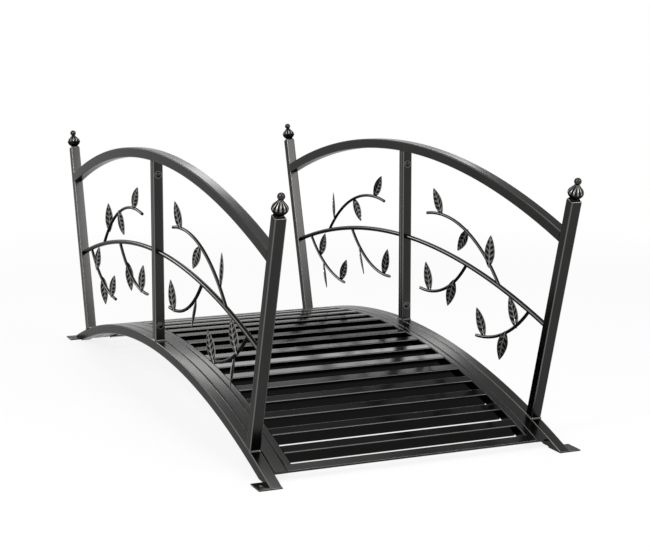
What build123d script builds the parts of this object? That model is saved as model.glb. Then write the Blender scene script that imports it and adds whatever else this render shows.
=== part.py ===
"""Arched steel garden bridge with vine railings, in millimetres.

X runs along the bridge, Y across it and Z up; the origin lies on the ground at the
middle of the bridge. Each railing is made of two half frames that meet at X = 0, and
the slatted deck hangs between the two railings.
"""

import os
from math import asin, atan2, cos, degrees, pi, radians, sin, tan

from build123d import *

os.makedirs("parts", exist_ok=True)

# Square tube of the frames; its rounded corners are drawn as flats
tube = 24.0
tube_corner = 1.6

# Arch that the railings and the deck follow: length over its feet, and clear height below it
bridge_length = 1526.3
arch_clear_height = 116.0

# Railings: distance between their middle planes, and the radial end posts, set back from the deck's end
rail_spacing = 640.0
post_setback = 88.7
post_length = 505.0
post_top_chamfer = 2.0

# Handrail: radius of its underside, and its height over the arch at the middle of the bridge
handrail_radius = 2280.0
centre_post_length = 423.0

# Round rod across each railing: radius of its centre line and its height over the arch
rod_diameter = 11.0
rod_radius = 2376.0
rod_height = 211.0

# Flats around a round bar
bar_sides = 12

# Stems of the vines. Each leaves the rod, passes one point and ends at another: places along the
# railing are shares of its half length, heights are shares of the space above or below the rod
stem_diameter = 7.5
upper_vine_shares = (0.678, (0.44, 0.374), (0.174, 0.359))
inner_vine_shares = (0.46, (0.312, 0.598), (0.125, 0.457))
outer_vine_shares = (0.863, (0.718, 0.568), (0.531, 0.304))

# Pressed leaves, folded along the midrib and welded to a face of the stem. Their length is a share
# of the narrower space beside the rod. Leaves away from the walkway all turn the same way out of the
# railing's plane; those towards it are mirrored from one half of a railing to the other
leaf_length_share = 0.36
leaf_heel = 4.5
leaf_width = 24.0
leaf_thickness = 2.0
leaf_belly_share = 0.45
leaf_weld = 0.5
leaf_twist = 26.0
inner_leaf_twist = 38.0
leaf_fold = 8.0

# Leaves of each vine: share along the stem, direction in degrees from the outward level, and the
# face of the stem: 1 away from the walkway, -1 towards it
upper_leaf_shares = ((0.828, 127, 1), (0.49, 229, 1), (0.148, 84, -1))
inner_leaf_shares = ((0.835, 109, 1), (0.277, 245, -1))
outer_leaf_shares = ((0.88, 122, 1), (0.30, 116, 1), (0.45, 250, -1))

# Finials: square base, fluted onion body and ball
finial_base_top_width = 15.0
finial_base_height = 4.5
finial_body_diameter = 34.0
finial_body_height = 29.5
finial_throat_diameter = 9.0
finial_ball_diameter = 15.5
finial_flutes = 12

# Outline of the onion: height and radius as shares of the body's height and radius
finial_body_shares = (
    (0.0, 0.5),
    (0.09, 0.74),
    (0.24, 0.93),
    (0.42, 1.0),
    (0.57, 0.92),
    (0.7, 0.77),
    (0.84, 0.53),
)

# Steps around the ball as shares of the turn from the throat to its top
ball_step_shares = (0.0, 0.25, 0.5, 0.75, 0.93)

# Foot plates: flat plates under the ends of the arches, each with a tab and an anchor hole
plate_thickness = 3.0
plate_length = 48.0
plate_tab = 25.0
plate_overhang = 2.0
anchor_hole_diameter = 8.0

# Deck: ends short of the arch's feet; side tubes beside the railings, edge strips, slats and end bars
deck_setback = 47.5
deck_gap = 0.5
deck_side_width = 28.0
deck_edge_width = 16.0
slat_width = 27.0
slat_depth = 27.0
slat_pitch = 68.5
slat_first_offset = 41.0
end_bar_width = 22.0
end_bar_thickness = 5.0

# Clearance where a straight cut meets a curved tube
seat_gap = 0.05

# How far a curved bar is drawn past the place where it is cut off
trim_share = 1.5

# Circle of the arch, from its length and height
foot_reach = bridge_length / 2
arch_crest = arch_clear_height + tube
arch_rise = arch_crest - plate_thickness
arch_top_radius = (foot_reach**2 + arch_rise**2) / (2 * arch_rise)
arch_radius = arch_top_radius - tube
arch_centre = arch_crest - arch_top_radius
foot_angle = degrees(asin(foot_reach / arch_top_radius))

# Places along the top of the arch, as distances from the middle
deck_reach = arch_top_radius * radians(foot_angle) - deck_setback
post_reach = deck_reach - post_setback
slat_reach = deck_reach - end_bar_width - slat_width / 2
slats_per_half = int((slat_reach - slat_first_offset) // slat_pitch) + 1
post_lean = degrees(post_reach / arch_top_radius)
deck_side_angle = degrees(deck_reach / arch_top_radius)
end_bar_angle = degrees((deck_reach - end_bar_width / 2) / arch_top_radius)
deck_edge_angle = degrees((deck_reach - end_bar_width - seat_gap) / arch_top_radius)
deck_end_level = arch_centre + (arch_top_radius - end_bar_thickness) * cos(radians(deck_side_angle))

# Places across the bridge
rail_offset = rail_spacing / 2
deck_side_inner = rail_offset - tube / 2 - deck_gap - deck_side_width
deck_edge_inner = deck_side_inner - deck_edge_width

# Railing panel: half length to the end post, and the circles below and above the vines
handrail_centre = arch_crest + centre_post_length - handrail_radius
rod_centre = arch_crest + rod_height - rod_radius
panel_length = (arch_top_radius + post_length / 2) * sin(radians(post_lean))
arch_circle = (arch_centre, arch_top_radius)
rod_circle = (rod_centre, rod_radius)
handrail_circle = (handrail_centre, handrail_radius)
leaf_length = leaf_length_share * min(rod_height, centre_post_length - rod_height)

ends = {"near": 1, "far": -1}
sides = {"left": -1, "right": 1}


def save(part, name):
    """Label a finished piece and write it."""
    part.label = name
    export_step(part, f"parts/{name}.step")


def radial_plane(end, y, angle, radius):
    """Plane across an arch radius: local X along the arch away from the middle, local Z outward."""
    turn = radians(angle)
    return Plane(
        origin=(end * radius * sin(turn), y, arch_centre + radius * cos(turn)),
        x_dir=(end * cos(turn), 0, -sin(turn)),
        z_dir=(end * sin(turn), 0, cos(turn)),
    )


def post_face(end, y):
    """Plane on the inner face of an end post, facing the middle of the bridge."""
    post = radial_plane(end, y, post_lean, arch_top_radius)
    return Plane(origin=post.origin - post.x_dir * (tube / 2), x_dir=post.z_dir, z_dir=-post.x_dir)


def tube_section(width, height):
    """Draw the cross-section of a tube in the open sketch."""
    outline = Rectangle(width, height)
    chamfer(outline.vertices(), tube_corner)


def curved_bar(end, y, width, height, radius, centre, angle):
    """Tube bent to a circle about a line across the bridge, from X = 0 outwards."""
    start = Plane(origin=(0, y, centre + radius + height / 2), x_dir=(0, 1, 0), z_dir=(1, 0, 0))
    with BuildPart() as bar:
        with BuildSketch(start):
            tube_section(width, height)
        revolve(axis=Axis((0, 0, centre), (0, end, 0)), revolution_arc=angle)
    return bar.part


def side_arch(end, y):
    """Half of the tube that carries a railing, cut level on its foot plate."""
    bar = curved_bar(end, y, tube, tube, arch_radius, arch_centre, foot_angle * trim_share)
    with BuildPart() as arch:
        add(bar)
        split(bisect_by=Plane.XY.offset(plate_thickness), keep=Keep.TOP)
    return arch.part


def end_post(end, y):
    """Square post along an arch radius, with a bevelled top edge."""
    with BuildPart() as post:
        with BuildSketch(radial_plane(end, y, post_lean, arch_top_radius)):
            tube_section(tube, tube)
        extrude(amount=post_length)
        top = post.faces().sort_by(Axis.Z)[-1]
        chamfer(top.edges(), post_top_chamfer)
    return post.part


def centre_post(end, y):
    """Half of the upright at the middle of a railing."""
    with BuildPart() as post:
        with BuildSketch(Plane((end * tube / 4, y, arch_crest))):
            tube_section(tube / 2, tube)
        extrude(amount=centre_post_length - seat_gap)
    return post.part


def handrail(end, y):
    """Half of the top rail, cut where it meets the end post."""
    bar = curved_bar(end, y, tube, tube, handrail_radius, handrail_centre, post_lean * trim_share)
    with BuildPart() as rail:
        add(bar)
        split(bisect_by=post_face(end, y), keep=Keep.TOP)
    return rail.part


def mid_rod(end, y):
    """Half of the round rod between the centre post and an end post."""
    with BuildPart() as rod:
        with BuildSketch(Plane.YZ):
            with Locations((y, rod_centre + rod_radius)):
                RegularPolygon(rod_diameter / 2, bar_sides)
        revolve(axis=Axis((0, 0, rod_centre), (0, end, 0)), revolution_arc=post_lean * trim_share)
        split(bisect_by=post_face(end, y), keep=Keep.TOP)
        split(bisect_by=Plane(origin=(end * tube / 2, y, 0), z_dir=(end, 0, 0)), keep=Keep.TOP)
    return rod.part


def circle_height(circle, x):
    """Height of a circle about a line across the bridge, at a distance from the middle."""
    centre, radius = circle
    return centre + (radius**2 - x**2) ** 0.5


def panel_point(lower, upper, length_share, height_share):
    """Point between two circles of a railing panel, from its shares."""
    x = panel_length * length_share
    low = circle_height(lower, x)
    return (x, low + (circle_height(upper, x) - low) * height_share)


def stem(end, y, lower, upper, path_shares):
    """Route of a stem in the middle plane of a railing, from the rod to its free end."""
    start_share, way_shares, end_shares = path_shares
    start_x = panel_length * start_share
    with BuildLine(Plane(origin=(0, y, 0), x_dir=(end, 0, 0), z_dir=(0, -end, 0))) as route:
        ThreePointArc(
            (start_x, circle_height(rod_circle, start_x)),
            panel_point(lower, upper, *way_shares),
            panel_point(lower, upper, *end_shares),
        )
    return route.edge()


def leaf(place, along, face, twist):
    """Pressed leaf on a stem: a sheet folded along the midrib and cut to the leaf's outline."""
    facing = Vector(-face * sin(twist), face * cos(twist), 0)
    facing = (facing - along * facing.dot(along)).normalized()
    heel = place - along * leaf_heel
    belly = leaf_length * leaf_belly_share
    half_width = leaf_width / 2
    skin = leaf_thickness / 2
    drop = leaf_width * tan(radians(leaf_fold))
    sheet = [
        (skin, 0),
        (skin - drop, leaf_width),
        (-skin - drop, leaf_width),
        (-skin, 0),
        (-skin - drop, -leaf_width),
        (skin - drop, -leaf_width),
    ]
    with BuildPart() as blade:
        with BuildSketch(Plane(origin=heel, x_dir=along, z_dir=facing)):
            with BuildLine():
                edge = ThreePointArc((0, 0), (belly, half_width), (leaf_length, 0))
                ThreePointArc(edge @ 1, (belly, -half_width), edge @ 0)
            make_face()
        extrude(amount=half_width, both=True)
        with BuildSketch(Plane(origin=heel, x_dir=facing, z_dir=along)):
            Polygon(*sheet, align=None)
        extrude(amount=leaf_length, mode=Mode.INTERSECT)
    return blade.part


def vine(end, side, lower, upper, path_shares, leaf_shares):
    """Stem that leaves the rod in a bow, with its leaves."""
    y = side * rail_offset
    rod = mid_rod(end, y)
    bow = stem(end, y, lower, upper, path_shares)
    turn = Axis(bow.arc_center, ((bow @ 0) - bow.arc_center).cross(bow % 0))
    leaf_offset = stem_diameter / 2 + leaf_thickness / 2 - leaf_weld
    leaves = []
    for share, direction, stem_face in leaf_shares:
        face = stem_face * side
        along = Vector(end * cos(radians(direction)), 0, sin(radians(direction)))
        twist = radians(leaf_twist if stem_face > 0 else end * side * inner_leaf_twist)
        leaves.append(leaf((bow @ share) + Vector(0, face * leaf_offset, 0), along, face, twist))
    with BuildPart() as branch:
        with BuildSketch(Plane(origin=bow @ 0, x_dir=(0, 1, 0), z_dir=bow % 0)):
            RegularPolygon(stem_diameter / 2, bar_sides)
        revolve(axis=turn, revolution_arc=degrees(bow.length / bow.radius))
        add(rod, mode=Mode.SUBTRACT)
        add(leaves)
    return branch.part


def finial(end, y):
    """Fluted onion knob with a ball, cut from crossed profiles, on a square base on an end post."""
    base = radial_plane(end, y, post_lean, arch_top_radius + post_length)
    base_width = tube - 2 * post_top_chamfer
    base_taper = degrees(atan2((base_width - finial_base_top_width) / 2, finial_base_height))
    ball = finial_ball_diameter / 2
    throat = finial_throat_diameter / 2
    throat_turn = asin(throat / ball)
    ball_centre = finial_base_height + finial_body_height + ball * cos(throat_turn)
    outline = []
    for height_share, radius_share in finial_body_shares:
        height = finial_base_height + finial_body_height * height_share
        outline.append((finial_body_diameter / 2 * radius_share, height))
    for step_share in ball_step_shares:
        turn = throat_turn + (pi - throat_turn) * step_share
        outline.append((ball * sin(turn), ball_centre - ball * cos(turn)))
    mirrored = [(-x, z) for x, z in reversed(outline)]
    with BuildPart() as knob:
        for step in range(finial_flutes // 2):
            turn = pi * step / (finial_flutes // 2)
            across = base.x_dir * cos(turn) + base.y_dir * sin(turn)
            with BuildSketch(Plane(origin=base.origin, x_dir=across, z_dir=across.cross(base.z_dir))):
                Polygon(*outline, *mirrored, align=None)
            extrude(amount=finial_body_diameter, both=True, mode=Mode.INTERSECT if step else Mode.ADD)
        with BuildSketch(base):
            Rectangle(base_width, base_width)
        extrude(amount=finial_base_height, taper=base_taper)
    return knob.part


def foot_plate(end, side):
    """Flat plate under the end of an arch; its tab with the anchor hole points outwards."""
    inner = rail_offset - tube / 2
    width = tube + plate_tab
    hole_from_middle = width / 2 - plate_tab / 2
    centre = (end * (foot_reach + plate_overhang - plate_length / 2), side * (inner + width / 2))
    with BuildPart() as plate:
        with BuildSketch():
            with Locations(centre):
                Rectangle(plate_length, width)
                with Locations((0, side * hole_from_middle)):
                    Circle(anchor_hole_diameter / 2, mode=Mode.SUBTRACT)
        extrude(amount=plate_thickness)
    return plate.part


def deck_bar(side, inner, width, angle):
    """Curved bar along one side of the deck, flush with the railing arches and cut level at its ends."""
    y = side * (inner + width / 2)
    halves = [curved_bar(end, y, width, tube, arch_radius, arch_centre, angle) for end in ends.values()]
    with BuildPart() as bar:
        add(halves)
        split(bisect_by=Plane.XY.offset(deck_end_level), keep=Keep.TOP)
    return bar.part


def slats(end):
    """Cross tubes of one half of the deck, welded between the edge strips."""
    with BuildPart() as half:
        for step in range(slats_per_half):
            angle = degrees((slat_first_offset + step * slat_pitch) / arch_top_radius)
            middle = radial_plane(end, 0, angle, arch_top_radius - slat_depth / 2)
            with BuildSketch(Plane(middle.origin, middle.x_dir, middle.y_dir)):
                tube_section(slat_width, slat_depth)
            extrude(amount=deck_edge_inner, both=True)
    return half.part


def end_bar(end):
    """Flat bar across the end of the deck."""
    with BuildPart() as bar:
        with BuildSketch(radial_plane(end, 0, end_bar_angle, arch_top_radius - end_bar_thickness)):
            Rectangle(end_bar_width, 2 * deck_side_inner)
        extrude(amount=end_bar_thickness)
    return bar.part


for end_name, end in ends.items():
    for side_name, side in sides.items():
        y = side * rail_offset
        place = f"{end_name}_{side_name}"
        save(side_arch(end, y), f"side_arch_{place}")
        save(end_post(end, y), f"end_post_{place}")
        save(centre_post(end, y), f"centre_post_{place}")
        save(handrail(end, y), f"handrail_{place}")
        save(mid_rod(end, y), f"mid_rod_{place}")
        upper_vine = vine(end, side, rod_circle, handrail_circle, upper_vine_shares, upper_leaf_shares)
        save(upper_vine, f"upper_vine_{place}")
        inner_vine = vine(end, side, arch_circle, rod_circle, inner_vine_shares, inner_leaf_shares)
        save(inner_vine, f"inner_vine_{place}")
        outer_vine = vine(end, side, arch_circle, rod_circle, outer_vine_shares, outer_leaf_shares)
        save(outer_vine, f"outer_vine_{place}")
        save(finial(end, y), f"finial_{place}")
        save(foot_plate(end, side), f"foot_plate_{place}")
    save(slats(end), f"deck_slats_{end_name}")
    save(end_bar(end), f"deck_end_bar_{end_name}")

for side_name, side in sides.items():
    save(deck_bar(side, deck_side_inner, deck_side_width, deck_side_angle), f"deck_side_{side_name}")
    save(deck_bar(side, deck_edge_inner, deck_edge_width, deck_edge_angle), f"deck_edge_{side_name}")
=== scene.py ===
"""Looks of the arched steel garden bridge: rounded tubes, vine railings, fluted finials and studio."""

import logging
import math
from dataclasses import dataclass, field
from enum import Enum
from typing import Callable, Iterable, Sequence

import bmesh
import bpy
from bmesh.types import BMEdge, BMesh, BMFace, BMLayerItem, BMVert
from mathutils import Matrix, Vector


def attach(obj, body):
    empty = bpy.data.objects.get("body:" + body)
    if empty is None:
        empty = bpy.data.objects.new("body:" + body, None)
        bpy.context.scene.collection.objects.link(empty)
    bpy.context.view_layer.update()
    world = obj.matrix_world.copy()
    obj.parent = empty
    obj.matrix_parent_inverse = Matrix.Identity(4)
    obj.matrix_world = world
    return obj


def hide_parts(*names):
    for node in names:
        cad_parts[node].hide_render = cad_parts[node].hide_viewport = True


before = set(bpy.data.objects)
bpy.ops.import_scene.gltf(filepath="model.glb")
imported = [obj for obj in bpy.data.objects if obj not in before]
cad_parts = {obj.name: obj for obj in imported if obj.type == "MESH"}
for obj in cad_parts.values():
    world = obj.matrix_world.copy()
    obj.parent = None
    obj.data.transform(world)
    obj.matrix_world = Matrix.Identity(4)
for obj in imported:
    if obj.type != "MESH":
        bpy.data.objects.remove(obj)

log = logging.getLogger("garden_bridge")

# Vertex layer that marks where highlights are painted into the base colour.
PAINTED_HIGHLIGHT_ATTRIBUTE = "rim"
GRAIN = "grain"
SHARP = math.radians(50.0)
FACE_WEIGHT = 100
MERGE_GAP = 0.000005
SEAM_GAP = 0.00001
CUT_GAP = 0.0000001
UP = Vector((0.0, 0.0, 1.0))
ACROSS = Vector((0.0, 1.0, 0.0))
WHITE = (1.0, 1.0, 1.0, 1.0)

Colour = tuple[float, float, float]
Grain = Callable[[Vector], Vector]


class Half(Enum):
    """One of two halves of the bridge, as the sign of an axis."""

    @property
    def word(self) -> str:
        """The half's word in the names of nodes."""
        return self.name.lower()


class End(Half):
    """The two ends of the bridge, as the sign of X."""

    NEAR = 1
    FAR = -1


class Side(Half):
    """The two railings, as the sign of Y."""

    LEFT = -1
    RIGHT = 1


class Slot(Enum):
    """Material slots of the record."""

    FRAME = "frame_steel"
    DECK = "deck_steel"
    VINE = "vine_steel"
    FINIAL = "finial_steel"


class Value:
    """A socket in a node tree; Python operators on it add Math nodes."""

    def __init__(self, graph: "Graph", socket: bpy.types.NodeSocket | None) -> None:
        """Wrap a graph's output socket, which is None after a node that ends the tree."""
        self.graph = graph
        self.socket = socket

    def _math(self, operation: str, first: "Value | float", second: "Value | float") -> "Value":
        """Add a Math node."""
        return self.graph.node("ShaderNodeMath", {"operation": operation}, {0: first, 1: second})

    def __add__(self, other: "Value | float") -> "Value":
        """Sum."""
        return self._math("ADD", self, other)

    __radd__ = __add__

    def __sub__(self, other: "Value | float") -> "Value":
        """Difference."""
        return self._math("SUBTRACT", self, other)

    def __rsub__(self, other: "Value | float") -> "Value":
        """Difference from a number."""
        return self._math("SUBTRACT", other, self)

    def __mul__(self, other: "Value | float") -> "Value":
        """Product."""
        return self._math("MULTIPLY", self, other)

    __rmul__ = __mul__

    def __or__(self, other: "Value | float") -> "Value":
        """The larger of two values."""
        return self._math("MAXIMUM", self, other)

    __ror__ = __or__


@dataclass
class Graph:
    """A node tree and the one method that adds nodes to it."""

    tree: bpy.types.NodeTree

    def node(
        self, kind: str, settings: dict | None = None, inputs: dict | None = None, output: int | str = 0
    ) -> Value:
        """Add a node.

        Args:
            kind: The node's type.
            settings: Its properties, set first.
            inputs: Values or links of its sockets, by name or number.
            output: The output socket to return.

        Returns:
            The chosen output.
        """
        made = self.tree.nodes.new(kind)
        for name, setting in (settings or {}).items():
            setattr(made, name, setting)
        for name, value in (inputs or {}).items():
            if isinstance(value, Value):
                self.tree.links.new(value.socket, made.inputs[name])
            else:
                made.inputs[name].default_value = value
        return Value(self, made.outputs[output] if made.outputs else None)


def blank_graph(owner: bpy.types.Material | bpy.types.World) -> Graph:
    """Empty the node tree of a material or the world.

    Args:
        owner: What the tree belongs to.

    Returns:
        Its node graph.
    """
    owner.use_nodes = True
    owner.node_tree.nodes.clear()
    return Graph(owner.node_tree)


@dataclass(frozen=True)
class BlackCoat:
    """Black coat baked on drawn steel: dark faces, painted highlights on thin rims, and a faint grain along
    each bar.
    """

    name: str
    colour: Colour
    cloud_colour: Colour
    rim_colour: Colour
    roughness: float
    roughness_spread: float = 0.06
    edge_tint: float = 0.6
    cloud_scale: float = 9.0
    cloud_detail: float = 4.0
    cloud_share: float = 0.6
    grain_scale: tuple[float, float, float] = (260.0, 260.0, 4.0)
    grain_detail: float = 3.0
    peel_scale: float = 420.0
    peel_detail: float = 2.0
    peel_depth: float = 0.00002
    peel_strength: float = 0.4

    def material(self) -> bpy.types.Material:
        """Make the finish's material.

        Returns:
            A node material on Object coordinates and on the pieces' rim and grain attributes.
        """
        material = bpy.data.materials.new(self.name)
        graph = blank_graph(material)
        place = graph.node("ShaderNodeTexCoord", output="Object")
        rim = graph.node("ShaderNodeAttribute", {"attribute_name": PAINTED_HIGHLIGHT_ATTRIBUTE}, output="Fac")
        along = graph.node("ShaderNodeAttribute", {"attribute_name": GRAIN}, output="Vector")
        stretch = {0: along, 1: self.grain_scale}
        drawn = graph.node("ShaderNodeVectorMath", {"operation": "MULTIPLY"}, stretch)
        grain = self.noise(graph, drawn, 1.0, self.grain_detail)
        clouds = self.noise(graph, place, self.cloud_scale, self.cloud_detail)
        peel = self.noise(graph, place, self.peel_scale, self.peel_detail)
        mottle = clouds * self.cloud_share + grain * (1.0 - self.cloud_share)
        face = self.mix(graph, mottle, (*self.colour, 1.0), (*self.cloud_colour, 1.0))
        relief = {"Strength": self.peel_strength, "Distance": self.peel_depth, "Height": peel}
        # Base colour rises to the painted highlight colour wherever the rim attribute is set.
        shader = graph.node(
            "ShaderNodeBsdfPrincipled",
            None,
            {
                "Base Color": self.mix(graph, rim, face, (*self.rim_colour, 1.0)),
                "Metallic": 1.0,
                "Roughness": (clouds + grain - 1.0) * self.roughness_spread + self.roughness,
                "Specular Tint": (self.edge_tint, self.edge_tint, self.edge_tint, 1.0),
                "Normal": graph.node("ShaderNodeBump", None, relief),
            },
        )
        graph.node("ShaderNodeOutputMaterial", None, {"Surface": shader})
        return material

    @staticmethod
    def noise(graph: Graph, place: Value, scale: float, detail: float) -> Value:
        """Add a noise pattern."""
        return graph.node("ShaderNodeTexNoise", None, {"Vector": place, "Scale": scale, "Detail": detail})

    @staticmethod
    def mix(graph: Graph, share: Value, first: Value | tuple, second: Value | tuple) -> Value:
        """Mix two colours, which are sockets 6 and 7 of the node, with socket 2 as the result."""
        return graph.node("ShaderNodeMix", {"data_type": "RGBA"}, {0: share, 6: first, 7: second}, output=2)


@dataclass(frozen=True)
class StudioWhite:
    """White of the studio: bright to the camera and in reflections, with the bridge's shadow kept."""

    name: str = "studio_white"
    glow: float = 0.86
    reflectance: float = 0.85
    shadow_reach: float = 1.6
    fade_reach: float = 3.2

    def material(self) -> bpy.types.Material:
        """Make the floor's material.

        Returns:
            A diffuse white that the camera and reflections see lifted, all the more away from the bridge.
        """
        material = bpy.data.materials.new(self.name)
        graph = blank_graph(material)
        seen = seen_rays(graph)
        place = graph.node("ShaderNodeTexCoord", output="Object")
        reach = graph.node("ShaderNodeVectorMath", {"operation": "LENGTH"}, {0: place}, output="Value")
        fade = {"From Min": self.shadow_reach, "From Max": self.fade_reach, "To Min": self.glow}
        away = graph.node(
            "ShaderNodeMapRange", {"interpolation_type": "SMOOTHSTEP"}, {"Value": reach, **fade}
        )
        diffuse = graph.node("ShaderNodeBsdfDiffuse", None, {"Color": (self.reflectance,) * 3 + (1.0,)})
        white = graph.node("ShaderNodeEmission", None, {"Color": WHITE, "Strength": 1.0})
        shader = graph.node("ShaderNodeMixShader", None, {0: seen * away, 1: diffuse, 2: white})
        graph.node("ShaderNodeOutputMaterial", None, {"Surface": shader})
        return material


def seen_rays(graph: Graph) -> Value:
    """Find the rays that show the background.

    Args:
        graph: The node graph to add to.

    Returns:
        1 for camera, glossy and transmission rays, and 0 for the rest.
    """
    kinds = ("Camera", "Glossy", "Transmission")
    camera, glossy, through = (graph.node("ShaderNodeLightPath", output=f"Is {kind} Ray") for kind in kinds)
    return camera | glossy | through


class Finishes:
    """The bridge's materials, one for each slot."""

    def __init__(self) -> None:
        """Make the materials."""
        dark, cloud = (0.0247, 0.0242, 0.0239), (0.0416, 0.0407, 0.04)
        deep, sheen = (0.0075, 0.0073, 0.0073), (0.0130, 0.0127, 0.0125)
        # Painted highlight colours, mixed in wherever the rim attribute is set.
        frame_highlight, deck_highlight = (0.16, 0.157, 0.150), (0.06, 0.059, 0.057)
        vine_highlight, finial_highlight = (0.40, 0.394, 0.380), (0.31, 0.299, 0.279)
        coats = {
            Slot.FRAME: BlackCoat("frame_black_coat", dark, cloud, frame_highlight, 0.22, edge_tint=0.56),
            Slot.DECK: BlackCoat("deck_black_coat", deep, sheen, deck_highlight, 0.15),
            Slot.VINE: BlackCoat("vine_black_coat", deep, sheen, vine_highlight, 0.20, edge_tint=0.48),
            Slot.FINIAL: BlackCoat("finial_gloss_coat", deep, sheen, finial_highlight, 0.08, edge_tint=0.45),
        }
        self.materials = {slot: coat.material() for slot, coat in coats.items()}


def mesh_data(name: str, mesh: BMesh) -> bpy.types.Mesh:
    """Turn a bmesh, which is used up, into mesh data.

    Args:
        name: The data's name.
        mesh: The bmesh.

    Returns:
        The mesh data.
    """
    data = bpy.data.meshes.new(name)
    mesh.to_mesh(data)
    mesh.free()
    return data


def scene_object(name: str, data: bpy.types.ID) -> bpy.types.Object:
    """Make an object in the scene.

    Args:
        name: The object's name.
        data: Its mesh, lamp or camera.

    Returns:
        The object.
    """
    made = bpy.data.objects.new(name, data)
    bpy.context.scene.collection.objects.link(made)
    return made


@dataclass
class Piece:
    """A mesh under construction that stands for one node of the frame, or is added to it."""

    name: str
    slot: Slot
    replaces: str | None = None
    mesh: BMesh = field(default_factory=bmesh.new)

    def __post_init__(self) -> None:
        """Add the layer that marks painted highlights."""
        self.mesh.verts.layers.float.new(PAINTED_HIGHLIGHT_ATTRIBUTE)

    def finish(self, finishes: Finishes, weighted: bool = True, grain: Grain | None = None) -> None:
        """Turn the mesh into an object on the frame.

        Args:
            finishes: The bridge's materials.
            weighted: Whether flat faces keep their own normals beside rounded edges.
            grain: Finds a point's two places across the bar and its place along it.
        """
        bmesh.ops.remove_doubles(self.mesh, verts=self.mesh.verts, dist=MERGE_GAP)
        bmesh.ops.recalc_face_normals(self.mesh, faces=self.mesh.faces)
        for face in self.mesh.faces:
            face.smooth = True
        for edge in self.mesh.edges:
            edge.smooth = edge.calc_face_angle(0.0) < SHARP
        if grain:
            drawn = self.mesh.verts.layers.float_vector.new(GRAIN)
            for vert in self.mesh.verts:
                vert[drawn] = grain(vert.co)
        data = mesh_data(self.name, self.mesh)
        data.materials.append(finishes.materials[self.slot])
        piece = scene_object(self.name, data)
        if weighted:
            normals = piece.modifiers.new("flat_faces", "WEIGHTED_NORMAL")
            normals.weight = FACE_WEIGHT
            normals.keep_sharp = True
        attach(piece, "root")
        if self.replaces:
            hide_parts(self.replaces)
        log.info("%s: %d faces", self.name, len(data.polygons))


def rim_layer(mesh: BMesh) -> BMLayerItem:
    """Find the layer that marks painted highlights."""
    return mesh.verts.layers.float[PAINTED_HIGHLIGHT_ATTRIBUTE]


def verts_of(geometry: Iterable) -> list[BMVert]:
    """Pick the vertices out of an operator's result."""
    return [g for g in geometry if isinstance(g, BMVert)]


def faces_of(geometry: Iterable) -> list[BMFace]:
    """Pick the faces out of an operator's result."""
    return [g for g in geometry if isinstance(g, BMFace)]


def new_verts(mesh: BMesh, known: set[BMVert]) -> list[BMVert]:
    """List the vertices that are not yet known."""
    return [v for v in mesh.verts if v not in known]


def soften(mesh: BMesh, edges: list[BMEdge], width: float) -> None:
    """Round edges in two steps."""
    bmesh.ops.bevel(mesh, geom=edges, offset=width, segments=2, profile=0.5, affect="EDGES", material=-1)


def rounded_outline(
    mesh: BMesh, width: float, height: float, corner: float, segments: int, painted_highlight: float = 1.0
) -> list:
    """Draw a rounded rectangle in the XY plane about the origin.

    Args:
        mesh: The mesh to draw in.
        width: Size along X.
        height: Size along Y.
        corner: Radius of the corners.
        segments: Steps around each corner.
        painted_highlight: Strength of the painted highlight on the corners.

    Returns:
        The rectangle's face, edges and vertices.
    """
    verts = bmesh.ops.create_grid(mesh, x_segments=1, y_segments=1, size=0.5)["verts"]
    bmesh.ops.scale(mesh, vec=(width, height, 1.0), verts=verts)
    known = set(mesh.verts) - set(verts)
    bmesh.ops.bevel(
        mesh, geom=verts, offset=corner, segments=segments, profile=0.5, affect="VERTICES", material=-1
    )
    fresh = new_verts(mesh, known)
    rim = rim_layer(mesh)
    # The corners' inner steps get the painted highlight; where they meet the flats they get none.
    flat_share = 0.1
    for vert in fresh:
        inside = min(abs(vert.co.x) - width / 2, abs(vert.co.y) - height / 2) + corner
        vert[rim] = painted_highlight if inside > corner * flat_share else 0.0
    edges = {e for v in fresh for e in v.link_edges}
    faces = {f for v in fresh for f in v.link_faces}
    return [*fresh, *edges, *faces]


def raised(mesh: BMesh, outline: list, height: float) -> list[BMVert]:
    """Extrude a drawn outline along Z.

    Args:
        mesh: The mesh that holds the outline.
        outline: Its vertices, edges and face.
        height: How far it is lifted.

    Returns:
        The lifted vertices.
    """
    lifted = bmesh.ops.extrude_face_region(mesh, geom=faces_of(outline), use_keep_orig=True)["geom"]
    verts = verts_of(lifted)
    bmesh.ops.translate(mesh, vec=(0.0, 0.0, height), verts=verts)
    return verts


def cap_holes(mesh: BMesh) -> None:
    """Close every open end of a mesh."""
    bmesh.ops.holes_fill(mesh, edges=[e for e in mesh.edges if e.is_boundary], sides=0)


def cut_away(mesh: BMesh, place: Vector, facing: Vector) -> None:
    """Cut a mesh at a plane, drop what lies in front of it and close the cut.

    Args:
        mesh: The mesh to cut.
        place: A point of the plane.
        facing: The plane's normal, towards the part to drop.
    """
    everything = [*mesh.verts, *mesh.edges, *mesh.faces]
    bmesh.ops.bisect_plane(
        mesh, geom=everything, dist=CUT_GAP, plane_co=place, plane_no=facing, clear_outer=True
    )
    cap_holes(mesh)


def swept_arc(
    mesh: BMesh, outline: list, centre: Vector, axis: Vector, angle: float, steps: int
) -> None:
    """Sweep a drawn outline round an axis and close both ends.

    Args:
        mesh: The mesh that holds the outline.
        outline: Its vertices, its edges and any face, which is dropped.
        centre: A point of the axis.
        axis: The axis.
        angle: The turn.
        steps: Steps along the sweep.
    """
    bmesh.ops.delete(mesh, geom=faces_of(outline), context="FACES_ONLY")
    rim = [g for g in outline if g.is_valid and not isinstance(g, BMFace)]
    bmesh.ops.spin(
        mesh, geom=rim, cent=centre, axis=axis, angle=angle, steps=steps,
        use_merge=False, use_duplicate=False,
    )
    cap_holes(mesh)


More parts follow.
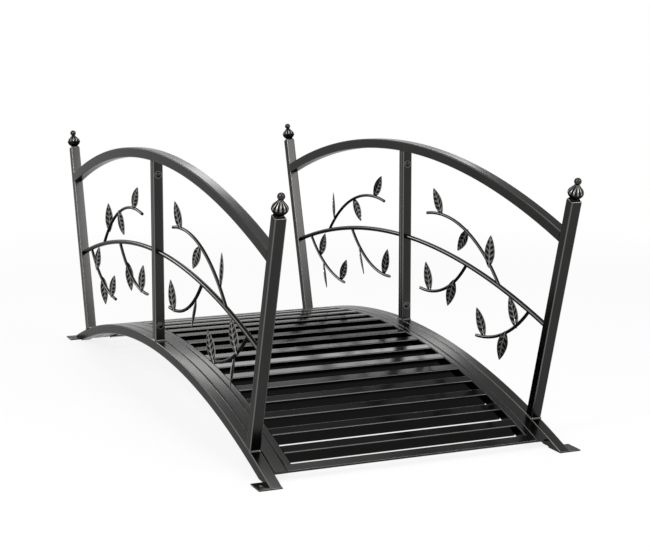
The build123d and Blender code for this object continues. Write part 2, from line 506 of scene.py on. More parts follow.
def join(target: BMesh, other: BMesh) -> None:
    """Add one mesh to another.

    Args:
        target: The mesh that grows.
        other: The mesh that is used up.
    """
    scratch = mesh_data("scratch", other)
    target.from_mesh(scratch)
    bpy.data.meshes.remove(scratch)


def circle_centre(first: Vector, second: Vector, third: Vector) -> Vector:
    """Find the centre of the circle through three points.

    Args:
        first: A point.
        second: A point.
        third: A point.

    Returns:
        The centre.
    """
    a = second - first
    b = third - first
    normal = a.cross(b)
    return first + (normal.cross(a) * b.length_squared + b.cross(normal) * a.length_squared) / (
        2.0 * normal.length_squared
    )


@dataclass
class Sizes:
    """Driving sizes of the bridge in metres, with the circles that follow from them."""

    tube: float = 0.024
    tube_corner: float = 0.0026
    corner_steps: int = 4
    bend_step: float = 0.018
    fewest_bend_steps: int = 8
    bridge_length: float = 1.5263
    arch_clear_height: float = 0.116
    rail_spacing: float = 0.640
    post_setback: float = 0.0887
    post_length: float = 0.505
    handrail_radius: float = 2.280
    centre_post_length: float = 0.423
    rod_diameter: float = 0.011
    rod_radius: float = 2.376
    rod_height: float = 0.211
    plate_thickness: float = 0.003
    deck_setback: float = 0.0475

    def __post_init__(self) -> None:
        """Work out the circles and the places along the arch."""
        self.foot_reach = self.bridge_length / 2
        self.arch_crest = self.arch_clear_height + self.tube
        rise = self.arch_crest - self.plate_thickness
        self.arch_top_radius = (self.foot_reach**2 + rise**2) / (2 * rise)
        self.arch_centre = self.arch_crest - self.arch_top_radius
        self.foot_angle = math.asin(self.foot_reach / self.arch_top_radius)
        self.deck_reach = self.arch_top_radius * self.foot_angle - self.deck_setback
        self.post_lean = (self.deck_reach - self.post_setback) / self.arch_top_radius
        self.rail_offset = self.rail_spacing / 2
        self.handrail_centre = self.arch_crest + self.centre_post_length - self.handrail_radius
        self.rod_centre = self.arch_crest + self.rod_height - self.rod_radius
        self.panel_length = (self.arch_top_radius + self.post_length / 2) * math.sin(self.post_lean)
        self.arch_grain = self.arc_grain(self.arch_centre, self.arch_top_radius)

    def radial(self, end: End, y: float, angle: float, radius: float) -> Matrix:
        """Place on an arch radius.

        Args:
            end: The end of the bridge.
            y: Place across the bridge.
            angle: Angle from the middle.
            radius: Distance from the arch's centre.

        Returns:
            A matrix with X along the arch, Y across the bridge and Z outward.
        """
        outward = Vector((end.value * math.sin(angle), 0.0, math.cos(angle)))
        along = ACROSS.cross(outward)
        turn = Matrix((along, ACROSS, outward)).transposed().to_4x4()
        turn.translation = Vector((0.0, y, self.arch_centre)) + outward * radius
        return turn

    def arc_grain(self, centre: float, radius: float) -> Grain:
        """Make the grain of a bar that is bent to a circle.

        Args:
            centre: Height of the circle's centre.
            radius: Its radius.

        Returns:
            A function from a point to its places across the bar and along it.
        """

        def place(point: Vector) -> Vector:
            """Places of a point across the bar and along it."""
            height = point.z - centre
            return Vector((math.hypot(point.x, height), point.y, math.atan2(point.x, height) * radius))

        return place

    def bar(
        self, end: End, y: float, width: float, radius: float,
        centre: float, angle: float, name: str, painted_highlight: float,
    ) -> Piece:
        """Bend a rounded square tube to a circle from the middle of the bridge outwards.

        Args:
            end: The end of the bridge.
            y: Place across the bridge.
            width: Width of the tube.
            radius: Radius of its underside.
            centre: Height of the circle's centre.
            angle: The turn.
            name: The piece's node.
            painted_highlight: Strength of the painted highlight on its edges.

        Returns:
            The open piece.
        """
        piece = Piece(f"{name}_tube", Slot.FRAME, name)
        outline = rounded_outline(piece.mesh, width, self.tube, self.tube_corner, self.corner_steps, painted_highlight)
        upright = Matrix.Translation((0.0, y, centre + radius + self.tube / 2)) @ Matrix(
            ((0.0, 0.0, 1.0), (1.0, 0.0, 0.0), (0.0, 1.0, 0.0))
        ).to_4x4()
        bmesh.ops.transform(piece.mesh, matrix=upright, verts=verts_of(outline))
        steps = max(self.fewest_bend_steps, round(angle * radius / self.bend_step))
        swept_arc(piece.mesh, outline, Vector((0.0, y, centre)), ACROSS, end.value * angle, steps)
        return piece


@dataclass
class Finial:
    """Fluted onion knob with a ball on a square base."""

    sizes: Sizes
    base_width: float = 0.020
    base_top_width: float = 0.015
    base_height: float = 0.0045
    base_bevel: float = 0.0006
    body_diameter: float = 0.034
    body_height: float = 0.0295
    throat_diameter: float = 0.009
    ball_diameter: float = 0.0155
    ball_steps: int = 12
    ball_highlight: float = 0.11
    flutes: int = 12
    steps_per_flute: int = 12
    flute_depth: float = 0.0026
    flute_sharpness: float = 1.3
    flute_full_share: float = 0.42
    lobe_start: float = 0.33
    lobe_fade_in: float = 0.25
    lobe_fade_out: float = 0.1
    crest_narrowness: float = 4.0
    crest_fade_in: float = 0.12
    crest_fade: float = 0.85
    body_shares: tuple[tuple[float, float], ...] = (
        (0.0, 0.50), (0.045, 0.63), (0.09, 0.735), (0.16, 0.85), (0.24, 0.93), (0.33, 0.985), (0.42, 1.0),
        (0.50, 0.97), (0.57, 0.905), (0.64, 0.82), (0.70, 0.73), (0.77, 0.61), (0.84, 0.49), (0.92, 0.37),
    )

    def build(self, end: End, side: Side, finishes: Finishes) -> None:
        """Make one finial.

        Args:
            end: The end of the bridge.
            side: The railing.
            finishes: The bridge's materials.
        """
        sizes = self.sizes
        node = f"finial_{end.word}_{side.word}"
        piece = Piece(f"{node}_knob", Slot.FINIAL, node)
        mesh = piece.mesh
        verts = [mesh.verts.new((radius, 0.0, height)) for radius, height in self.outline()]
        edges = [mesh.edges.new(pair) for pair in zip(verts, verts[1:])]
        bmesh.ops.spin(
            mesh, geom=[*verts, *edges], cent=(0.0, 0.0, 0.0), axis=UP, angle=math.tau,
            steps=self.flutes * self.steps_per_flute, use_merge=True, use_duplicate=False,
        )
        bmesh.ops.remove_doubles(mesh, verts=mesh.verts, dist=SEAM_GAP)
        self.carve(mesh)
        self.base(mesh)
        height = sizes.arch_top_radius + sizes.post_length
        place = sizes.radial(end, side.value * sizes.rail_offset, sizes.post_lean, height)
        bmesh.ops.transform(mesh, matrix=place, verts=mesh.verts)
        piece.finish(finishes, weighted=False)

    def outline(self) -> list[tuple[float, float]]:
        """Work out the knob's profile.

        Returns:
            Radius and height of each point, from the base to the top of the ball.
        """
        points = [(0.0, self.base_height)]
        for height_share, radius_share in self.body_shares:
            height = self.base_height + self.body_height * height_share
            points.append((self.body_diameter / 2 * radius_share, height))
        ball = self.ball_diameter / 2
        throat_turn = math.asin(self.throat_diameter / 2 / ball)
        centre = self.base_height + self.body_height + ball * math.cos(throat_turn)
        for step in range(self.ball_steps + 1):
            turn = throat_turn + (math.pi - throat_turn) * step / self.ball_steps
            points.append((ball * math.sin(turn), centre - ball * math.cos(turn)))
        points[-1] = (0.0, points[-1][1])
        return points

    def carve(self, mesh: BMesh) -> None:
        """Press the grooves between the lobes into the upper body and mark where highlights are painted.

        Args:
            mesh: The turned knob about the Z axis.
        """
        rim = rim_layer(mesh)
        start = self.base_height + self.body_height * self.lobe_start
        stop = self.base_height + self.body_height
        for vert in mesh.verts:
            share = (vert.co.z - start) / (stop - start)
            # The ball takes an even share of the painted highlight; the body below the lobes takes none.
            vert[rim] = self.ball_highlight if share > 1.0 else 0.0
            if not 0.0 < share < 1.0:
                continue
            radius = math.hypot(vert.co.x, vert.co.y)
            around = math.atan2(vert.co.y, vert.co.x)
            fade = min(1.0, share / self.lobe_fade_in) * min(1.0, (1.0 - share) / self.lobe_fade_out)
            groove = (1.0 - abs(math.sin(around * self.flutes / 2))) ** self.flute_sharpness
            full = min(1.0, radius / (self.body_diameter * self.flute_full_share))
            depth = self.flute_depth * fade * groove * full
            # Painted highlight along each lobe's crest, fading towards the throat.
            crest = max(0.0, 1.0 - self.crest_narrowness * groove) * min(1.0, share / self.crest_fade_in)
            vert[rim] = crest * (1.0 - self.crest_fade * share)
            vert.co.xy *= (radius - depth) / radius

    def base(self, mesh: BMesh) -> None:
        """Add the tapered square base.

        Args:
            mesh: The knob about the Z axis.
        """
        verts = bmesh.ops.create_cube(mesh, size=1.0)["verts"]
        bmesh.ops.scale(mesh, vec=(self.base_width, self.base_width, self.base_height), verts=verts)
        bmesh.ops.translate(mesh, vec=(0.0, 0.0, self.base_height / 2), verts=verts)
        top = [v for v in verts if v.co.z > self.base_height / 2]
        share = self.base_top_width / self.base_width
        bmesh.ops.scale(mesh, vec=(share, share, 1.0), verts=top)
        edges = list({e for v in verts for e in v.link_edges})
        soften(mesh, edges, self.base_bevel)


@dataclass
class Leaf:
    """Pressed leaf with a folded midrib, side veins and a welded heel."""

    length: float = 0.076
    heel: float = 0.0045
    width: float = 0.0245
    thickness: float = 0.0016
    belly_share: float = 0.45
    fullness: float = 0.82
    fold: float = math.radians(8.0)
    bow: float = 0.0022
    twist: float = math.radians(26.0)
    inner_twist: float = math.radians(38.0)
    rib_width: float = 0.0011
    rib_taper: float = 0.5
    vein_height: float = 0.0007
    vein_share: float = 0.7
    vein_count: int = 6
    vein_slant: float = 0.9
    vein_sharpness: int = 6
    vein_start: float = 0.002
    vein_edge_fade: int = 3
    edge_highlight: float = 0.7
    edge_narrowness: int = 12
    steps_along: int = 44
    steps_across: int = 20
    tip_gap: float = 0.00002

    def add(self, mesh: BMesh, place: Vector, along: Vector, face: int, twist: float) -> None:
        """Add the leaf to a vine's mesh.

        Args:
            mesh: The vine's mesh.
            place: Point on the stem's face.
            along: Direction from heel to tip.
            face: The face of the stem, as the sign of Y.
            twist: Turn out of the railing's plane.
        """
        known = set(mesh.verts)
        bmesh.ops.create_grid(mesh, x_segments=self.steps_along, y_segments=self.steps_across, size=0.5)
        blade = new_verts(mesh, known)
        rim = rim_layer(mesh)
        for vert in blade:
            vert.co, vert[rim] = self.press(vert.co.x + 0.5, 2.0 * vert.co.y)
        faces = list({f for v in blade for f in v.link_faces})
        bmesh.ops.remove_doubles(mesh, verts=blade, dist=self.tip_gap)
        faces = [f for f in faces if f.is_valid]
        bmesh.ops.solidify(mesh, geom=faces, thickness=self.thickness)
        blade = new_verts(mesh, known)
        facing = Vector((-face * math.sin(twist), face * math.cos(twist), 0.0))
        facing = (facing - along * facing.dot(along)).normalized()
        turn = Matrix((along, facing.cross(along), facing)).transposed().to_4x4()
        turn.translation = place - along * self.heel
        bmesh.ops.transform(mesh, matrix=turn, verts=blade)

    def press(self, share: float, across: float) -> tuple[Vector, float]:
        """Find a point of the pressed sheet.

        Args:
            share: Share of the length, from the heel to the tip.
            across: Place across the half width, from -1 to 1.

        Returns:
            The point, with X along the leaf, Y across it and Z out of its face, and the strength of its
            painted highlight.
        """
        rise = min(share / self.belly_share, (1.0 - share) / (1.0 - self.belly_share))
        half = self.width / 2 * math.sin(math.pi / 2 * max(0.0, rise)) ** self.fullness
        y = half * across
        drop = -abs(y) * math.tan(self.fold)
        rib = math.exp(-((y / self.rib_width) ** 2)) * self.vein_height * (1.0 - self.rib_taper * share)
        slope = share * self.length - abs(y) * self.vein_slant
        wave = 0.5 + 0.5 * math.cos(math.tau * self.vein_count * slope / self.length)
        fade = min(1.0, abs(y) / self.vein_start) * (1.0 - abs(across) ** self.vein_edge_fade)
        vein = wave**self.vein_sharpness * self.vein_height * self.vein_share * fade
        bow = self.bow * math.sin(math.pi * share)
        # Painted highlight on the raised rib and veins and along the blade's edge.
        edge = self.edge_highlight * abs(across) ** self.edge_narrowness
        painted_highlight = min(1.0, max((rib + vein) / self.vein_height, edge))
        return Vector((share * self.length, y, drop + rib + vein + bow)), painted_highlight


@dataclass
class VinePlan:
    """One vine of a railing panel: its route, as shares of the panel, and its leaves.

    A leaf has its share along the stem, its direction in degrees and the face of the stem that it is on.
    """

    name: str
    above_rod: bool
    start_share: float
    way_shares: tuple[float, float]
    end_shares: tuple[float, float]
    leaves: tuple[tuple[float, float, int], ...]


VINES = (
    VinePlan(
        "upper_vine", True, 0.678, (0.44, 0.374), (0.174, 0.359),
        ((0.828, 127, 1), (0.49, 229, 1), (0.148, 84, -1)),
    ),
    VinePlan(
        "inner_vine", False, 0.46, (0.312, 0.598), (0.125, 0.457),
        ((0.835, 109, 1), (0.277, 245, -1)),
    ),
    VinePlan(
        "outer_vine", False, 0.863, (0.718, 0.568), (0.531, 0.304),
        ((0.88, 122, 1), (0.30, 116, 1), (0.45, 250, -1)),
    ),
)


@dataclass
class PostBolt:
    """Dome-headed bolt on a thin washer, which joins two half posts."""

    diameter: float = 0.0145
    flatness: float = 0.62
    sides: int = 20
    rings: int = 10
    washer_shares: tuple[float, float] = (0.66, 0.62)
    washer_thickness: float = 0.0012
    washer_lift: float = 0.0005
    washer_highlight: float = 0.7

    def add(self, mesh: BMesh, place: Matrix) -> None:
        """Add the bolt's head to a mesh.

        Args:
            mesh: The mesh to add to.
            place: Middle of the head on the post's face, with Z out of it.
        """
        known = set(mesh.verts)
        radius = self.diameter / 2
        bmesh.ops.create_uvsphere(mesh, u_segments=self.sides, v_segments=self.rings, radius=radius)
        dome = new_verts(mesh, known)
        bmesh.ops.scale(mesh, vec=(1.0, 1.0, self.flatness), verts=dome)
        low, high = self.washer_shares
        washer = bmesh.ops.create_cone(
            mesh, cap_ends=True, segments=self.sides, radius1=self.diameter * low,
            radius2=self.diameter * high, depth=self.washer_thickness,
        )["verts"]
        # Painted highlight over the whole washer.
        rim = rim_layer(mesh)
        for vert in washer:
            vert[rim] = self.washer_highlight
        bmesh.ops.transform(mesh, matrix=place, verts=[*dome, *washer])


@dataclass
class Railing:
    """One quarter of the railings: arch, posts, handrail, rod and vines at one end of one side."""

    sizes: Sizes
    end: End
    side: Side
    finishes: Finishes
    leaf: Leaf = field(default_factory=Leaf)
    bolt: PostBolt = field(default_factory=PostBolt)
    bolt_heights: tuple[float, float] = (0.0375, 0.3915)
    stem_diameter: float = 0.0075
    stem_sides: int = 24
    stem_step: float = 0.008
    fewest_stem_steps: int = 12
    leaf_weld: float = 0.0005
    post_chamfer: float = 0.002
    chamfer_shares: tuple[float, float] = (0.1, 0.8)
    seam: float = 0.0007
    weld_bead: float = 0.0022
    weld_height: float = 0.0030
    weld_steps: int = 3
    # Strengths of the painted highlight on the tubes' rounded edges.
    arch_highlight: float = 0.9
    post_highlight: float = 0.75
    rail_highlight: float = 0.25
    arch_overrun: float = 1.2
    rail_overrun: float = 1.3
    rod_overrun: float = 1.1
    shoulder_height: float = 0.5
    shoulder_fade: float = 0.3
    shoulder_highlight: float = 0.6

    def __post_init__(self) -> None:
        """Work out the railing's place, its way to the middle and the faces that its bars meet."""
        sizes = self.sizes
        self.y = self.side.value * sizes.rail_offset
        self.inward = Vector((-self.end.value, 0.0, 0.0))
        self.post_foot = sizes.radial(self.end, self.y, sizes.post_lean, sizes.arch_top_radius)
        self.centre_face = Vector((self.end.value * sizes.tube / 2, self.y, 0.0))

    def node(self, name: str) -> str:
        """Name of one of the railing's nodes."""
        return f"{name}_{self.end.word}_{self.side.word}"

    def build(self) -> None:
        """Make all pieces of this quarter."""
        self.side_arch()
        self.end_post()
        self.centre_post()
        self.handrail()
        self.mid_rod()
        for plan in VINES:
            self.vine(plan)

    def side_arch(self) -> None:
        """Make the half arch under the railing, cut level on its foot plate."""
        sizes = self.sizes
        underside = sizes.arch_top_radius - sizes.tube
        turn = sizes.foot_angle * self.arch_overrun
        piece = sizes.bar(
            self.end, self.y, sizes.tube, underside, sizes.arch_centre,
            turn, self.node("side_arch"), self.arch_highlight,
        )
        cut_away(piece.mesh, Vector((0.0, 0.0, sizes.plate_thickness)), -UP)
        self.part_halves(piece.mesh)
        piece.finish(self.finishes, grain=sizes.arch_grain)

    def part_halves(self, mesh: BMesh) -> None:
        """Leave the fine seam where two half frames meet at the middle."""
        cut_away(mesh, Vector((self.end.value * self.seam / 2, 0.0, 0.0)), self.inward)

    def post_face(self) -> tuple[Vector, Vector]:
        """Find a point of the end post's inner face, and its direction away from the middle."""
        outward = Vector(self.post_foot.col[0].xyz) * self.end.value
        return self.post_foot.translation - outward * (self.sizes.tube / 2), outward

    def end_post(self) -> None:
        """Make the leaning end post with its bevelled top and the weld round its foot."""
        sizes = self.sizes
        node = self.node("end_post")
        piece = Piece(f"{node}_tube", Slot.FRAME, node)
        mesh = piece.mesh
        outline = rounded_outline(
            mesh, sizes.tube, sizes.tube, sizes.tube_corner, sizes.corner_steps, self.post_highlight
        )
        raised(mesh, outline, sizes.post_length)
        top = [e for e in mesh.edges if all(v.co.z > sizes.post_length / 2 for v in e.verts)]
        soften(mesh, top, self.post_chamfer)
        # Painted highlight along the middle of the bevel round the post's top.
        rim = rim_layer(mesh)
        low, high = self.chamfer_shares
        for vert in mesh.verts:
            if low < (sizes.post_length - vert.co.z) / self.post_chamfer < high:
                vert[rim] = 1.0
        bmesh.ops.transform(mesh, matrix=self.post_foot, verts=mesh.verts)
        upright = self.post_foot.inverted()
        piece.finish(self.finishes, grain=lambda p: upright @ p)
        self.weld(node, self.post_foot)

    def centre_post(self) -> None:
        """Make the half upright at the middle of the railing, with its two bolts."""
        sizes = self.sizes
        node = self.node("centre_post")
        piece = Piece(f"{node}_tube", Slot.FRAME, node)
        mesh = piece.mesh
        # Its corners take the full painted highlight.
        outline = rounded_outline(mesh, sizes.tube / 2, sizes.tube, sizes.tube_corner, sizes.corner_steps)
        raised(mesh, outline, sizes.centre_post_length)
        place = (self.end.value * sizes.tube / 4, self.y, sizes.arch_crest)
        bmesh.ops.translate(mesh, vec=place, verts=mesh.verts)
        piece.finish(self.finishes, grain=lambda p: p)
        if self.end is End.NEAR:
            self.weld(f"centre_post_{self.side.word}", Matrix.Translation((0.0, self.y, sizes.arch_crest)))
        self.bolts()

    def weld(self, name: str, place: Matrix) -> None:
        """Make the weld bead round the foot of a post.

        Args:
            name: Name of the post.
            place: Middle of its foot, with Z along it.
        """
        tube = self.sizes.tube
        piece = Piece(f"{name}_weld", Slot.FRAME)
        mesh = piece.mesh
        wide = tube + 2 * self.weld_bead
        corner = self.sizes.tube_corner + self.weld_bead
        outline = rounded_outline(mesh, wide, wide, corner, self.weld_steps)
        top = raised(mesh, outline, self.weld_height)
        bmesh.ops.scale(mesh, vec=(tube / wide, tube / wide, 1.0), verts=top)
        # Painted highlight on the bead's top edge, none at its foot.
        rim = rim_layer(mesh)
        for vert in mesh.verts:
            vert[rim] = 1.0 if vert.co.z > 0.0 else 0.0
        bmesh.ops.transform(mesh, matrix=place, verts=mesh.verts)
        piece.finish(self.finishes)

    def bolts(self) -> None:
        """Make the dome heads of the bolts that join the two half posts."""
        sizes = self.sizes
        piece = Piece(self.node("post_bolts"), Slot.FRAME)
        sign = self.end.value
        face = sign * (sizes.tube / 2 + self.bolt.washer_lift)
        turn = Matrix.Rotation(sign * math.pi / 2, 4, "Y")
        for height in self.bolt_heights:
            place = Matrix.Translation((face, self.y, sizes.arch_crest + height))
            self.bolt.add(piece.mesh, place @ turn)
        cut_away(piece.mesh, self.centre_face, self.inward)
        piece.finish(self.finishes)

    def handrail(self) -> None:
        """Make the half handrail, cut where it meets the end post."""
        sizes = self.sizes
        piece = sizes.bar(
            self.end, self.y, sizes.tube, sizes.handrail_radius, sizes.handrail_centre,
            sizes.post_lean * self.rail_overrun, self.node("handrail"), self.rail_highlight,
        )
        cut_away(piece.mesh, *self.post_face())
        self.part_halves(piece.mesh)
        piece.finish(self.finishes, grain=sizes.arc_grain(sizes.handrail_centre, sizes.handrail_radius))

    def round_bar(
        self, mesh: BMesh, start: Vector, diameter: float,
        centre: Vector, axis: Vector, angle: float,
    ) -> None:
        """Bend a round bar about an axis, with a painted highlight along its upper shoulders.

        Args:
            mesh: The mesh to add to.
            start: Middle of the bar's first end.
            diameter: The bar's diameter.
            centre: A point of the axis.
            axis: The axis of the bend, of length 1.
            angle: The turn.
        """
        known = set(mesh.verts)
        bmesh.ops.create_circle(mesh, cap_ends=False, segments=self.stem_sides, radius=diameter / 2)
        ring = new_verts(mesh, known)
        middle = Matrix.Rotation(angle / 2, 3, axis) @ (start - centre)
        # Painted highlight on the shoulders that face up at the middle of the bend, where light from above
        # falls.
        upward = math.copysign(2.0 / diameter, middle.z)
        rim = rim_layer(mesh)
        for vert in ring:
            off = abs(vert.co.y * upward - self.shoulder_height)
            vert[rim] = self.shoulder_highlight * max(0.0, 1.0 - off / self.shoulder_fade)
        heading = axis.cross(start - centre).normalized()
        turn = Matrix((axis, heading.cross(axis), heading)).transposed().to_4x4()
        turn.translation = start
        bmesh.ops.transform(mesh, matrix=turn, verts=ring)
        outline = [*ring, *{e for v in ring for e in v.link_edges}]
        reach = abs(angle) * (start - centre).length
        steps = max(self.fewest_stem_steps, round(reach / self.stem_step))
        swept_arc(mesh, outline, centre, axis, angle, steps)

    def mid_rod(self) -> None:
        """Make the half rod between the centre post and the end post."""
        sizes = self.sizes
        node = self.node("mid_rod")
        piece = Piece(f"{node}_bar", Slot.VINE, node)
        start = Vector((0.0, self.y, sizes.rod_centre + sizes.rod_radius))
        centre = Vector((0.0, self.y, sizes.rod_centre))
        turn = sizes.post_lean * self.rod_overrun
        self.round_bar(piece.mesh, start, sizes.rod_diameter, centre, ACROSS * self.end.value, turn)
        cut_away(piece.mesh, *self.post_face())
        cut_away(piece.mesh, self.centre_face, self.inward)
        piece.finish(self.finishes)

    def panel_point(self, plan: VinePlan, length_share: float, height_share: float) -> Vector:
        """Find a point of the railing panel.

        Args:
            plan: The vine, which lies above or below the rod.
            length_share: Share of the panel's half length.
            height_share: Share of the space above or below the rod.

        Returns:
            The point in the frame.
        """
        sizes = self.sizes
        x = sizes.panel_length * length_share
        rod = sizes.rod_centre + math.sqrt(sizes.rod_radius**2 - x**2)
        rail = sizes.handrail_centre + math.sqrt(sizes.handrail_radius**2 - x**2)
        arch = sizes.arch_centre + math.sqrt(sizes.arch_top_radius**2 - x**2)
        low, high = (rod, rail) if plan.above_rod else (arch, rod)
        return Vector((self.end.value * x, self.y, low + (high - low) * height_share))

    def vine(self, plan: VinePlan) -> None:
        """Make a bowed stem that leaves the rod, with its leaves.

        Args:
            plan: The vine's route and leaves.
        """
        node = self.node(plan.name)
        piece = Piece(f"{node}_branch", Slot.VINE, node)
        rod_share = 0.0 if plan.above_rod else 1.0
        start = self.panel_point(plan, plan.start_share, rod_share)
        way = self.panel_point(plan, *plan.way_shares)
        stop = self.panel_point(plan, *plan.end_shares)
        centre = circle_centre(start, way, stop)
        axis = (start - centre).cross(way - centre).normalized()
        angle = (start - centre).angle(way - centre) + (way - centre).angle(stop - centre)
        self.round_bar(piece.mesh, start, self.stem_diameter, centre, axis, angle)
        offset = self.stem_diameter / 2 + self.leaf.thickness / 2 - self.leaf_weld
        for share, direction, stem_face in plan.leaves:
            face = stem_face * self.side.value
            turn = math.radians(direction)
            along = Vector((self.end.value * math.cos(turn), 0.0, math.sin(turn)))
            spot = centre + Matrix.Rotation(angle * share, 3, axis) @ (start - centre)
            mirrored = self.end.value * self.side.value * self.leaf.inner_twist
            twist = self.leaf.twist if stem_face > 0 else mirrored
            self.leaf.add(piece.mesh, spot + ACROSS * (face * offset), along, face, twist)
        piece.finish(self.finishes, weighted=False)


@dataclass
class Deck:
    """The walkway: side tubes, edge strips, cross slats, end bars and the foot plates."""

    sizes: Sizes
    finishes: Finishes
    gap: float = 0.0005
    side_width: float = 0.028
    edge_width: float = 0.016
    # Strength of the painted highlight on the strips' rounded edges.
    strip_highlight: float = 0.2
    slat_width: float = 0.027
    slat_depth: float = 0.027
    slat_pitch: float = 0.0685
    slat_first_offset: float = 0.041
    slats_per_half: int = 10
    end_bar_width: float = 0.022
    end_bar_thickness: float = 0.005
    plate_bevel: float = 0.0005
    flat_angle: float = math.radians(1.0)
    corner_angle: float = math.radians(40.0)

    def build(self) -> None:
        """Make all pieces of the deck."""
        sizes = self.sizes
        side_inner = sizes.rail_offset - sizes.tube / 2 - self.gap - self.side_width
        edge_inner = side_inner - self.edge_width
        edge_reach = sizes.deck_reach - self.end_bar_width
        level = sizes.arch_centre + (sizes.arch_top_radius - self.end_bar_thickness) * math.cos(
            sizes.deck_reach / sizes.arch_top_radius
        )
        for side in Side:
            self.strip(f"deck_side_{side.word}", side, side_inner, self.side_width, sizes.deck_reach, level)
            self.strip(f"deck_edge_{side.word}", side, edge_inner, self.edge_width, edge_reach, level)
        for end in End:
            self.slats(end, edge_inner)
            self.copied(f"deck_end_bar_{end.word}")
            for side in Side:
                self.copied(f"foot_plate_{end.word}_{side.word}")

    def strip(self, node: str, side: Side, inner: float, width: float, reach: float, level: float) -> None:
        """Make a curved bar along one side of the deck.

        Args:
            node: The node that it stands for.
            side: The side of the deck.
            inner: Distance of its inner face from the middle plane.
            width: Its width.
            reach: Half its length along the arch.
            level: Height at which its ends are cut level.
        """
        sizes = self.sizes
        y = side.value * (inner + width / 2)
        underside = sizes.arch_top_radius - sizes.tube
        turn = reach / sizes.arch_top_radius
        piece, other = (
            sizes.bar(end, y, width, underside, sizes.arch_centre, turn, node, self.strip_highlight)
            for end in End
        )
        join(piece.mesh, other.mesh)
        middle = [f for f in piece.mesh.faces if all(abs(v.co.x) < SEAM_GAP for v in f.verts)]
        bmesh.ops.delete(piece.mesh, geom=middle, context="FACES_ONLY")
        bmesh.ops.remove_doubles(piece.mesh, verts=piece.mesh.verts, dist=SEAM_GAP)
        cut_away(piece.mesh, Vector((0.0, 0.0, level)), -UP)
        piece.finish(self.finishes, grain=sizes.arch_grain)

    def slats(self, end: End, edge_inner: float) -> None:
        """Make the cross tubes of one half of the deck.

        Args:
            end: The half of the deck.
            edge_inner: Half the slats' length.
        """
        sizes = self.sizes
        node = f"deck_slats_{end.word}"
        piece = Piece(f"{node}_tubes", Slot.DECK, node)
        mesh = piece.mesh
        width, depth = self.slat_width, self.slat_depth
        lie = Matrix.Rotation(math.pi / 2, 4, "X")
        for step in range(self.slats_per_half):
            angle = (self.slat_first_offset + step * self.slat_pitch) / sizes.arch_top_radius
            known = set(mesh.verts)
            # Slat corners take the full painted highlight.
            outline = rounded_outline(mesh, width, depth, sizes.tube_corner, sizes.corner_steps)
            bmesh.ops.translate(mesh, vec=(0.0, 0.0, -edge_inner), verts=verts_of(outline))
            raised(mesh, outline, 2 * edge_inner)
            place = sizes.radial(end, 0.0, angle, sizes.arch_top_radius - depth / 2)
            bmesh.ops.transform(mesh, matrix=place @ lie, verts=new_verts(mesh, known))
        piece.finish(self.finishes, grain=lambda p: sizes.arch_grain(p).xzy)

    def copied(self, node: str) -> None:
        """Make a flat piece from its node's own mesh, with softened edges that carry a painted highlight.

        Args:
            node: The node that it stands for.
        """
        piece = Piece(f"{node}_flat", Slot.FRAME, node)
        mesh = piece.mesh
        mesh.from_mesh(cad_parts[node].data)
        bmesh.ops.remove_doubles(mesh, verts=mesh.verts, dist=SEAM_GAP)
        bmesh.ops.dissolve_limit(mesh, angle_limit=self.flat_angle, verts=mesh.verts, edges=mesh.edges)
        sharp = [e for e in mesh.edges if e.is_manifold and e.calc_face_angle(0.0) > self.corner_angle]
        soften(mesh, sharp, self.plate_bevel)
        # Painted highlight on vertices that lie only on narrow bevel faces.
        rim = rim_layer(mesh)
        narrow = {f for e in mesh.edges if e.calc_length() < self.plate_bevel for f in e.link_faces}
        for vert in mesh.verts:
            vert[rim] = 1.0 if all(face in narrow for face in vert.link_faces) else 0.0
        piece.finish(self.finishes)


@dataclass(frozen=True)
class Softbox:
    """Soft studio lamp: its name, place, width and height, and power in watts."""

    name: str
    place: tuple[float, float, float]
    size: tuple[float, float]
    power: float

    def hang(self, aim: Vector) -> None:
        """Make the lamp, unseen by the camera.

        Args:
            aim: The point that it faces.
        """
        data = bpy.data.lights.new(self.name, "AREA")
        data.shape = "RECTANGLE"
        data.size, data.size_y = self.size
        data.energy = self.power
        lamp = scene_object(self.name, data)
        lamp.location = self.place
        lamp.rotation_euler = (aim - Vector(self.place)).to_track_quat("-Z", "Y").to_euler()
        lamp.visible_camera = False


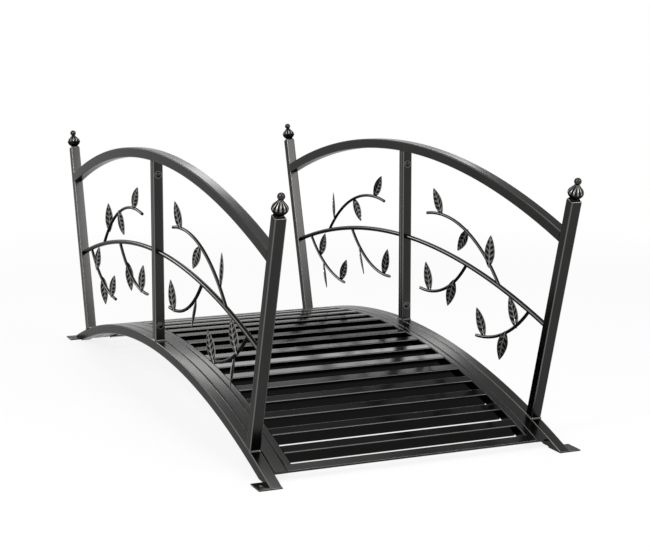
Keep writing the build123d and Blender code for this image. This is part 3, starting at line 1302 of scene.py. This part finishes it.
@dataclass
class Studio:
    """White studio with soft lamps and the photograph's viewpoint."""

    camera_place: tuple[float, float, float] = (3.47007, -1.36735, 0.91778)
    camera_yaw: float = math.radians(157.0264)
    camera_pitch: float = math.radians(-7.4419)
    lens: float = 86.636
    shift: float = -0.10
    floor_size: float = 30.0
    ambient: float = 0.35
    lamp_aim: tuple[float, float, float] = (0.0, 0.0, 0.25)
    lamps: tuple[Softbox, ...] = (
        Softbox("key_softbox", (1.75, -2.05, 2.1), (1.0, 1.8), 41.0),
        Softbox("key_core", (1.72, -2.0, 2.06), (0.4, 0.5), 11.0),
        Softbox("fill_softbox", (2.5, 1.25, 1.95), (1.6, 0.9), 31.0),
        Softbox("back_softbox", (-7.4, 2.35, 4.1), (4.5, 1.5), 180.0),
        Softbox("back_left_softbox", (-3.1, -1.45, 1.05), (1.0, 0.8), 10.0),
        Softbox("top_softbox", (0.1, 0.25, 2.6), (2.2, 1.0), 22.0),
    )

    def build(self) -> None:
        """Make the camera, the floor, the world and the lamps."""
        bpy.context.scene.view_settings.view_transform = "Standard"
        self.camera()
        self.floor()
        self.world()
        for lamp in self.lamps:
            lamp.hang(Vector(self.lamp_aim))

    def camera(self) -> None:
        """Make the camera at the photograph's viewpoint."""
        data = bpy.data.cameras.new("photo_camera")
        data.lens = self.lens
        data.shift_y = self.shift
        camera = scene_object("photo_camera", data)
        camera.location = self.camera_place
        camera.rotation_euler = (math.pi / 2 + self.camera_pitch, 0.0, self.camera_yaw - math.pi / 2)
        bpy.context.scene.camera = camera

    def floor(self) -> None:
        """Make the plain pale floor."""
        mesh = bmesh.new()
        bmesh.ops.create_grid(mesh, x_segments=1, y_segments=1, size=self.floor_size / 2)
        data = mesh_data("studio_floor", mesh)
        data.materials.append(StudioWhite().material())
        floor = scene_object("studio_floor", data)

    def world(self) -> None:
        """Make the white surroundings, dimmer for the light that they give."""
        world = bpy.data.worlds.new("studio_world")
        graph = blank_graph(world)
        strength = seen_rays(graph) * (1.0 - self.ambient) + self.ambient
        sky = graph.node("ShaderNodeBackground", None, {"Color": WHITE, "Strength": strength})
        graph.node("ShaderNodeOutputWorld", None, {"Surface": sky})
        bpy.context.scene.world = world


def main() -> None:
    """Dress the bridge and set up the studio."""
    logging.basicConfig(level=logging.INFO, format="%(message)s")
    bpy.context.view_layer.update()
    sizes = Sizes()
    finishes = Finishes()
    finial = Finial(sizes)
    for end in End:
        for side in Side:
            Railing(sizes, end, side, finishes).build()
            finial.build(end, side, finishes)
    Deck(sizes, finishes).build()
    Studio().build()


if __name__ == "__main__":
    main()
